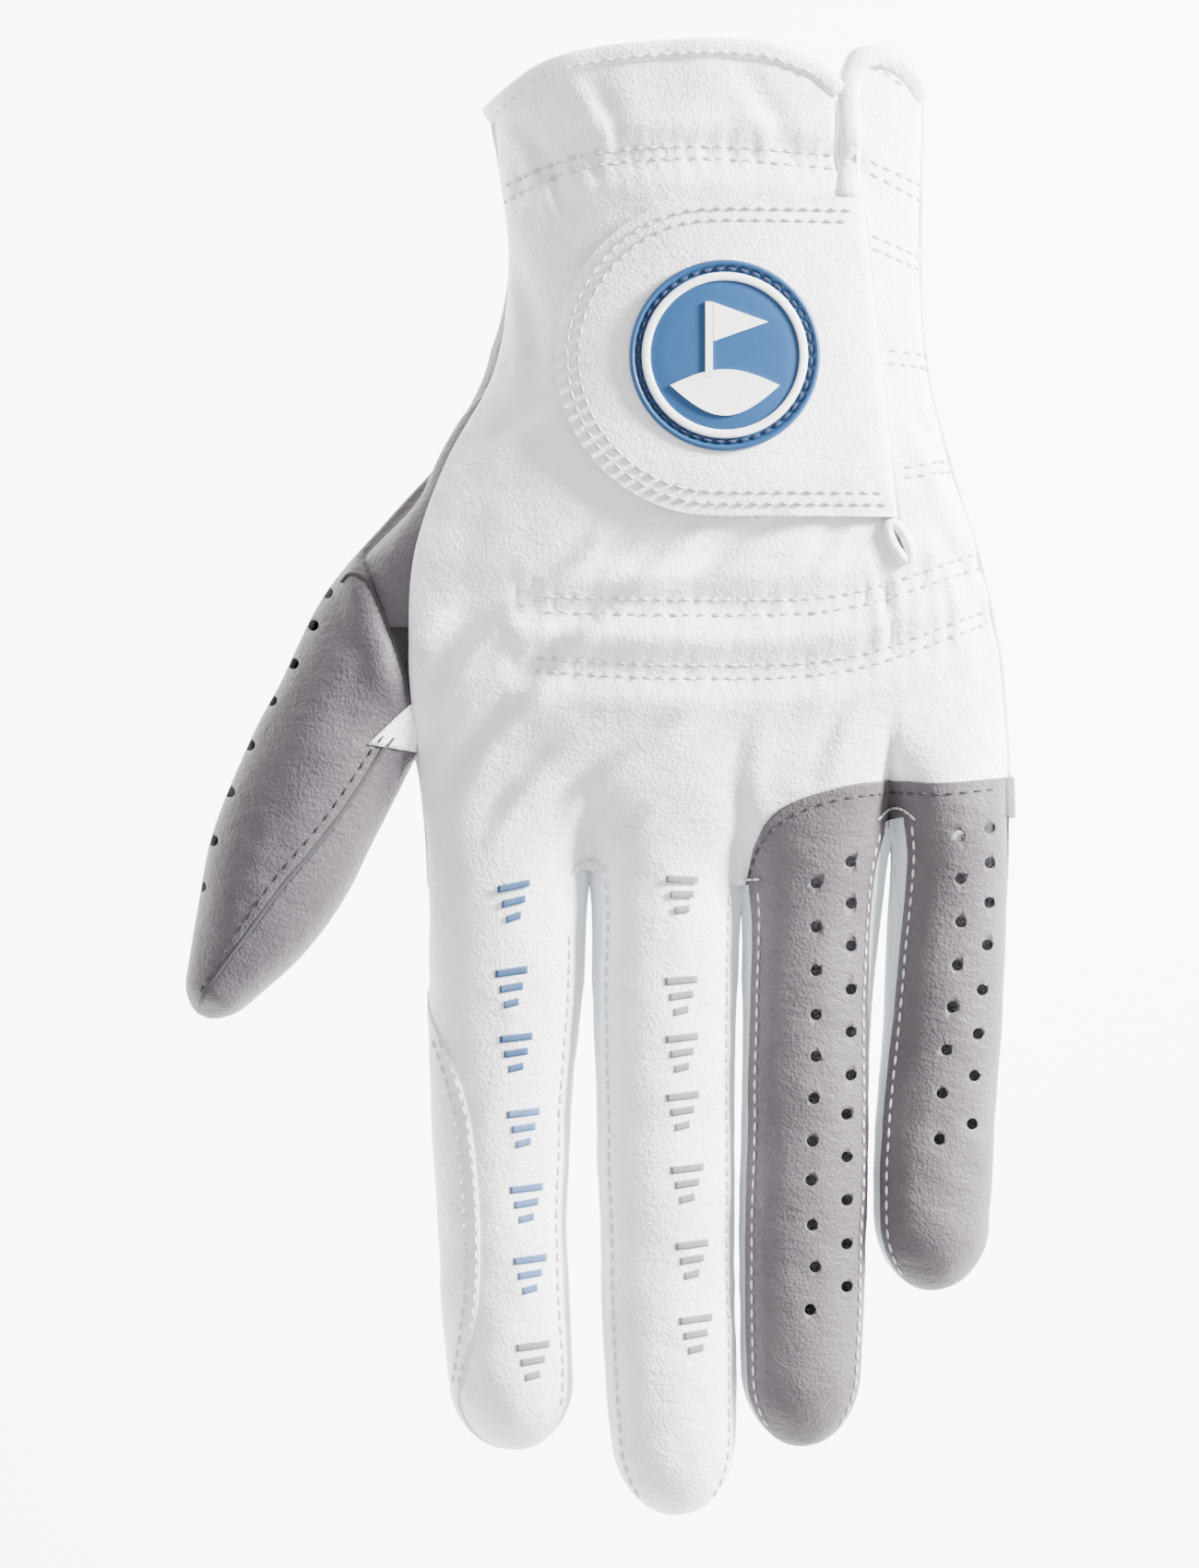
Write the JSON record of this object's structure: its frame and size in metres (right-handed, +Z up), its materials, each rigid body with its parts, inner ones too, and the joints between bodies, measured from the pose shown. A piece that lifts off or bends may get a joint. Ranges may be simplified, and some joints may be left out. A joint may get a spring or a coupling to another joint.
{
  "type": "golf glove",
  "caption": "Leather golf glove for a left hand, with separate panels, side strips, elastic bands and thread, bending digits and a peel-open round-ended closure tab.",
  "frame": {"origin": "centre of the glove's bounding box in plan, on the table it rests on", "axes": "+Y from the fingertips towards the wrist, +Z up out of the back of the hand, -X towards the thumb"},
  "size_m": [0.1155, 0.2073, 0.0277],
  "materials": {
    "white_leather": "soft fine-grained cabretta, satin",
    "grey_leather": "soft fine-grained, satin",
    "side_strip": "thin stretch side strip, matt",
    "elastic": "woven elastic, matt",
    "thread": "twisted polyester thread",
    "navy_thread": "twisted polyester thread",
    "badge_blue": "moulded soft rubber, satin",
    "badge_white": "moulded soft rubber, satin",
    "hook_fabric": "hook tape",
    "loop_fabric": "loop tape"
  },
  "bodies": {
    "hand": {"back_panel": "white_leather", "palm_panel": "white_leather", "thumb_gusset": "white_leather", "cuff_binding": "white_leather", "flap_binding": "white_leather", "slit_loop": "white_leather", "outer_panel": "grey_leather", "thumb_root": "grey_leather", "wrist_elastic": "elastic", "knuckle_elastic_upper": "elastic", "knuckle_elastic_lower": "elastic", "flap_elastic_top": "elastic", "flap_elastic_middle": "elastic", "flap_elastic_low": "elastic", "tab_anchor": "elastic", "cuff_stitching": "thread", "knuckle_stitching": "thread", "yoke_stitching": "thread", "loop_patch": "loop_fabric"},
    "tab": {"tab_leather": "white_leather", "tab_hook": "hook_fabric", "badge_base": "badge_blue", "badge_ring": "badge_white", "badge_emblem": "badge_white", "badge_stitching": "navy_thread", "tab_stitching": "thread"},
    "index": {"index_back": "white_leather", "index_palm": "white_leather", "index_wrap": "white_leather", "index_fourchette": "side_strip", "index_stitching": "thread"},
    "middle": {"middle_back": "white_leather", "middle_palm": "white_leather", "middle_fourchette_radial": "side_strip", "middle_fourchette_ulnar": "side_strip", "middle_stitching": "thread"},
    "ring": {"ring_palm": "white_leather", "ring_back": "grey_leather", "ring_fourchette_radial": "side_strip", "ring_fourchette_ulnar": "side_strip", "ring_stitching": "thread"},
    "little": {"little_palm": "white_leather", "little_back": "grey_leather", "little_fourchette": "side_strip", "little_stitching": "thread"},
    "thumb": {"thumb_outer": "grey_leather", "thumb_inner": "grey_leather", "thumb_palm": "white_leather", "thumb_stitching": "thread"}
  },
  "joints": [
    {"name": "index_flex", "type": "hinge", "parent": "hand", "child": "index", "pos_m": [-0.0127, -0.0128, 0.0072], "axis": [1, 0.0061, 0], "range_deg": [-20, 70]},
    {"name": "middle_flex", "type": "hinge", "parent": "hand", "child": "middle", "pos_m": [0.0092, -0.013, 0.0072], "axis": [0.9999, 0.0166, 0], "range_deg": [-20, 70]},
    {"name": "ring_flex", "type": "hinge", "parent": "hand", "child": "ring", "pos_m": [0.03, -0.0152, 0.0072], "axis": [0.9998, -0.0203, 0], "range_deg": [-20, 70]},
    {"name": "little_flex", "type": "hinge", "parent": "hand", "child": "little", "pos_m": [0.0504, -0.0062, 0.0072], "axis": [0.9981, -0.0611, 0], "range_deg": [-20, 70]},
    {"name": "thumb_flex", "type": "hinge", "parent": "hand", "child": "thumb", "pos_m": [-0.0357, 0.0099, 0.0072], "axis": [0.8961, -0.4438, 0], "range_deg": [-15, 45]},
    {"name": "tab_peel", "type": "hinge", "parent": "hand", "child": "tab", "pos_m": [0.0388, 0.05975, 0.0222], "axis": [-0.1142, 0.9935, 0], "range_deg": [0, 140]}
  ]
}
